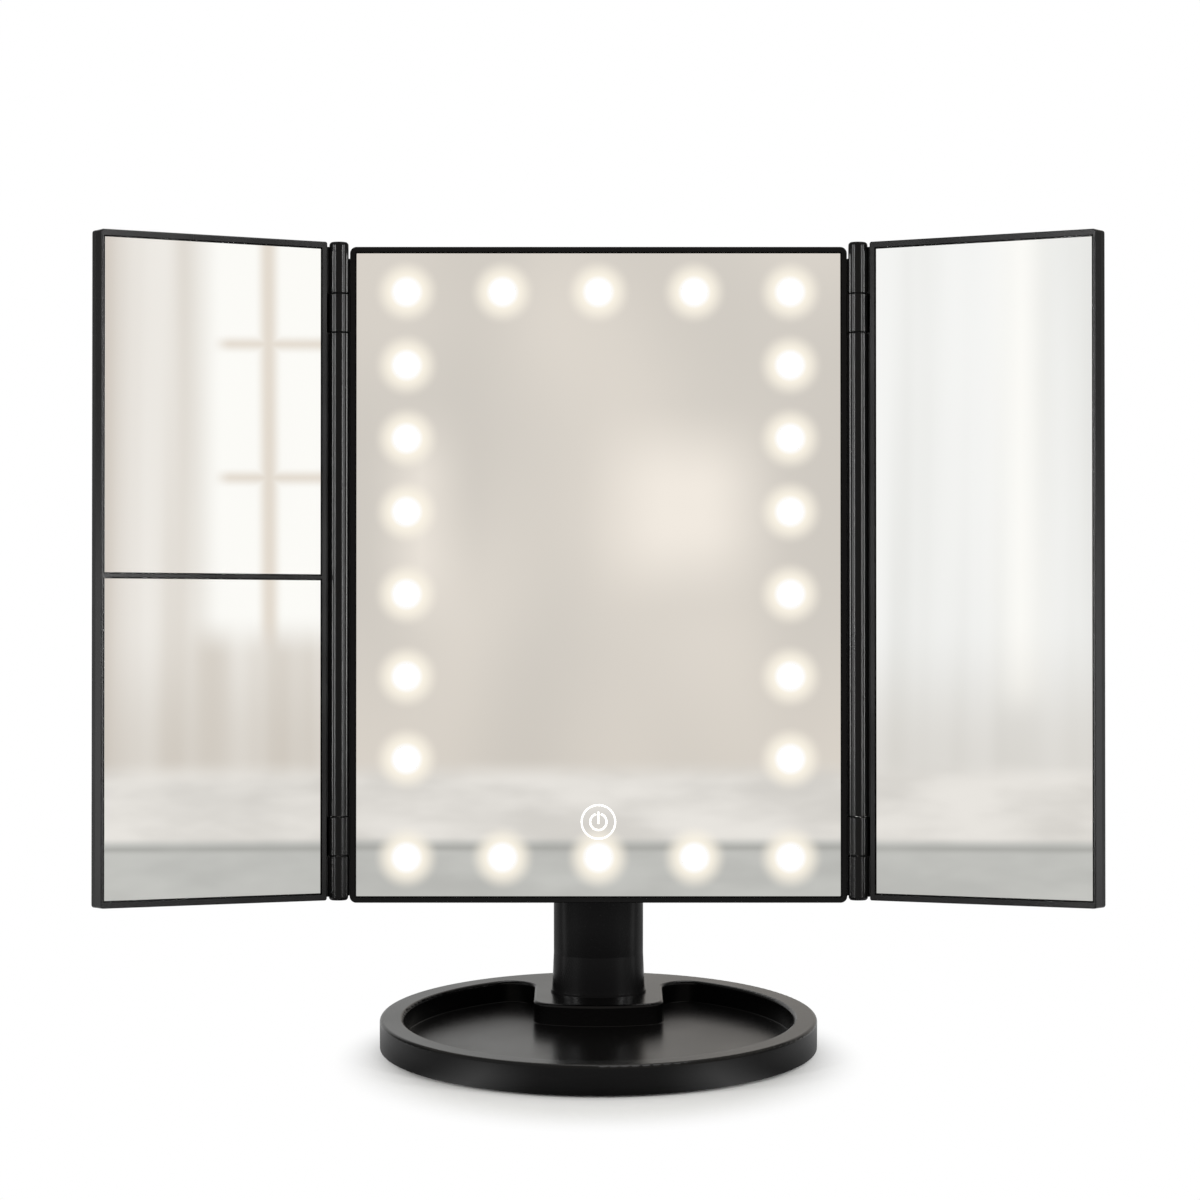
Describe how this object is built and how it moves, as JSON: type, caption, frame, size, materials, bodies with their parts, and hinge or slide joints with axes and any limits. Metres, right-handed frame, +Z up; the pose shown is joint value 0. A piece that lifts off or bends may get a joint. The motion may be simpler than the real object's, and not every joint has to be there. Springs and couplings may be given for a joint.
{
  "type": "trifold vanity mirror",
  "caption": "Free-standing lighted vanity mirror: a tilting centre mirror with dotted lights and a touch key, two folding side mirrors, a post and a round cosmetics tray.",
  "frame": {"origin": "middle of the foot pad's underside, on the table", "axes": "+Z up; -Y is the front, the way the mirrors look; +X is to the right of someone who sits in front of the mirror"},
  "size_m": [0.3572, 0.158, 0.2951],
  "materials": {
    "black_plastic": "smooth moulded black plastic with a soft gloss",
    "black_cover": "black plastic, matt underside",
    "mirror_glass": "silvered glass with a bevelled edge",
    "diffuser": "white translucent light windows",
    "icon_white": "white printed power symbol of the touch key",
    "led_chip": "yellow phosphor light-emitting diodes",
    "circuit_board": "green lacquered circuit board",
    "component_black": "moulded electronic parts",
    "wire_sleeve": "red insulated wire",
    "steel": "zinc-plated steel",
    "bush_nylon": "natural nylon",
    "foam_tape": "thin foam tape",
    "foot_foam": "black closed-cell foam foot pad",
    "cell_jacket": "plain green jacket of a dry cell"
  },
  "bodies": {
    "stand": {"foot_pad": "foot_foam", "base_plate": "black_cover", "base_screws": "steel", "base_tray": "black_plastic", "post": "black_plastic", "post_screws": "steel", "tilt_bushings": "bush_nylon"},
    "head": {"front_frame": "black_plastic", "centre_mirror": "mirror_glass", "centre_mirror_tape": "foam_tape", "led_windows": "diffuser", "led_chips": "led_chip", "led_board_left": "circuit_board", "led_board_right": "circuit_board", "led_board_top": "circuit_board", "led_board_bottom": "circuit_board", "touch_icon": "icon_white", "touch_sensor": "circuit_board", "back_shell": "black_plastic", "case_screws": "steel", "tilt_bracket": "black_plastic", "bracket_screws": "steel", "tilt_bolt": "steel", "tilt_nut": "steel", "tilt_spring_washers": "steel", "tilt_caps": "black_plastic", "battery_cells": "cell_jacket", "battery_contacts": "steel", "battery_springs": "steel", "control_board": "circuit_board", "board_components": "component_black", "board_screws": "steel", "usb_socket": "steel", "power_switch": "black_cover", "lead_wires": "wire_sleeve"},
    "left_wing": {"left_wing_frame": "black_plastic", "left_wing_back": "black_plastic", "left_mirror_upper": "mirror_glass", "left_mirror_lower": "mirror_glass", "left_mirror_tape": "foam_tape", "left_hinge_pins": "steel"},
    "right_wing": {"right_wing_frame": "black_plastic", "right_wing_back": "black_plastic", "right_mirror": "mirror_glass", "right_mirror_tape": "foam_tape", "right_hinge_pins": "steel"},
    "battery_door": {"battery_door": "black_plastic"},
    "switch_knob": {"switch_knob": "black_cover"}
  },
  "joints": [
    {"name": "head_tilt", "type": "hinge", "parent": "stand", "child": "head", "pos_m": [0, 0.0416, 0.0775], "axis": [-1, 0, 0], "range_deg": [-7, 83]},
    {"name": "left_wing_hinge", "type": "hinge", "parent": "head", "child": "left_wing", "pos_m": [-0.09415, 0.02128, 0.16966], "axis": [0, 0.1219, 0.9925], "range_deg": [-31, 149]},
    {"name": "right_wing_hinge", "type": "hinge", "parent": "head", "child": "right_wing", "pos_m": [0.09415, 0.02128, 0.16966], "axis": [0, -0.1219, -0.9925], "range_deg": [-31, 149]},
    {"name": "battery_door_hinge", "type": "hinge", "parent": "head", "child": "battery_door", "pos_m": [0, 0.03574, 0.12663], "axis": [-1, 0, 0], "range_deg": [0, 80]},
    {"name": "power_switch_slide", "type": "slide", "parent": "head", "child": "switch_knob", "axis": [1, 0, 0], "range_m": [-0.003, 0]}
  ]
}
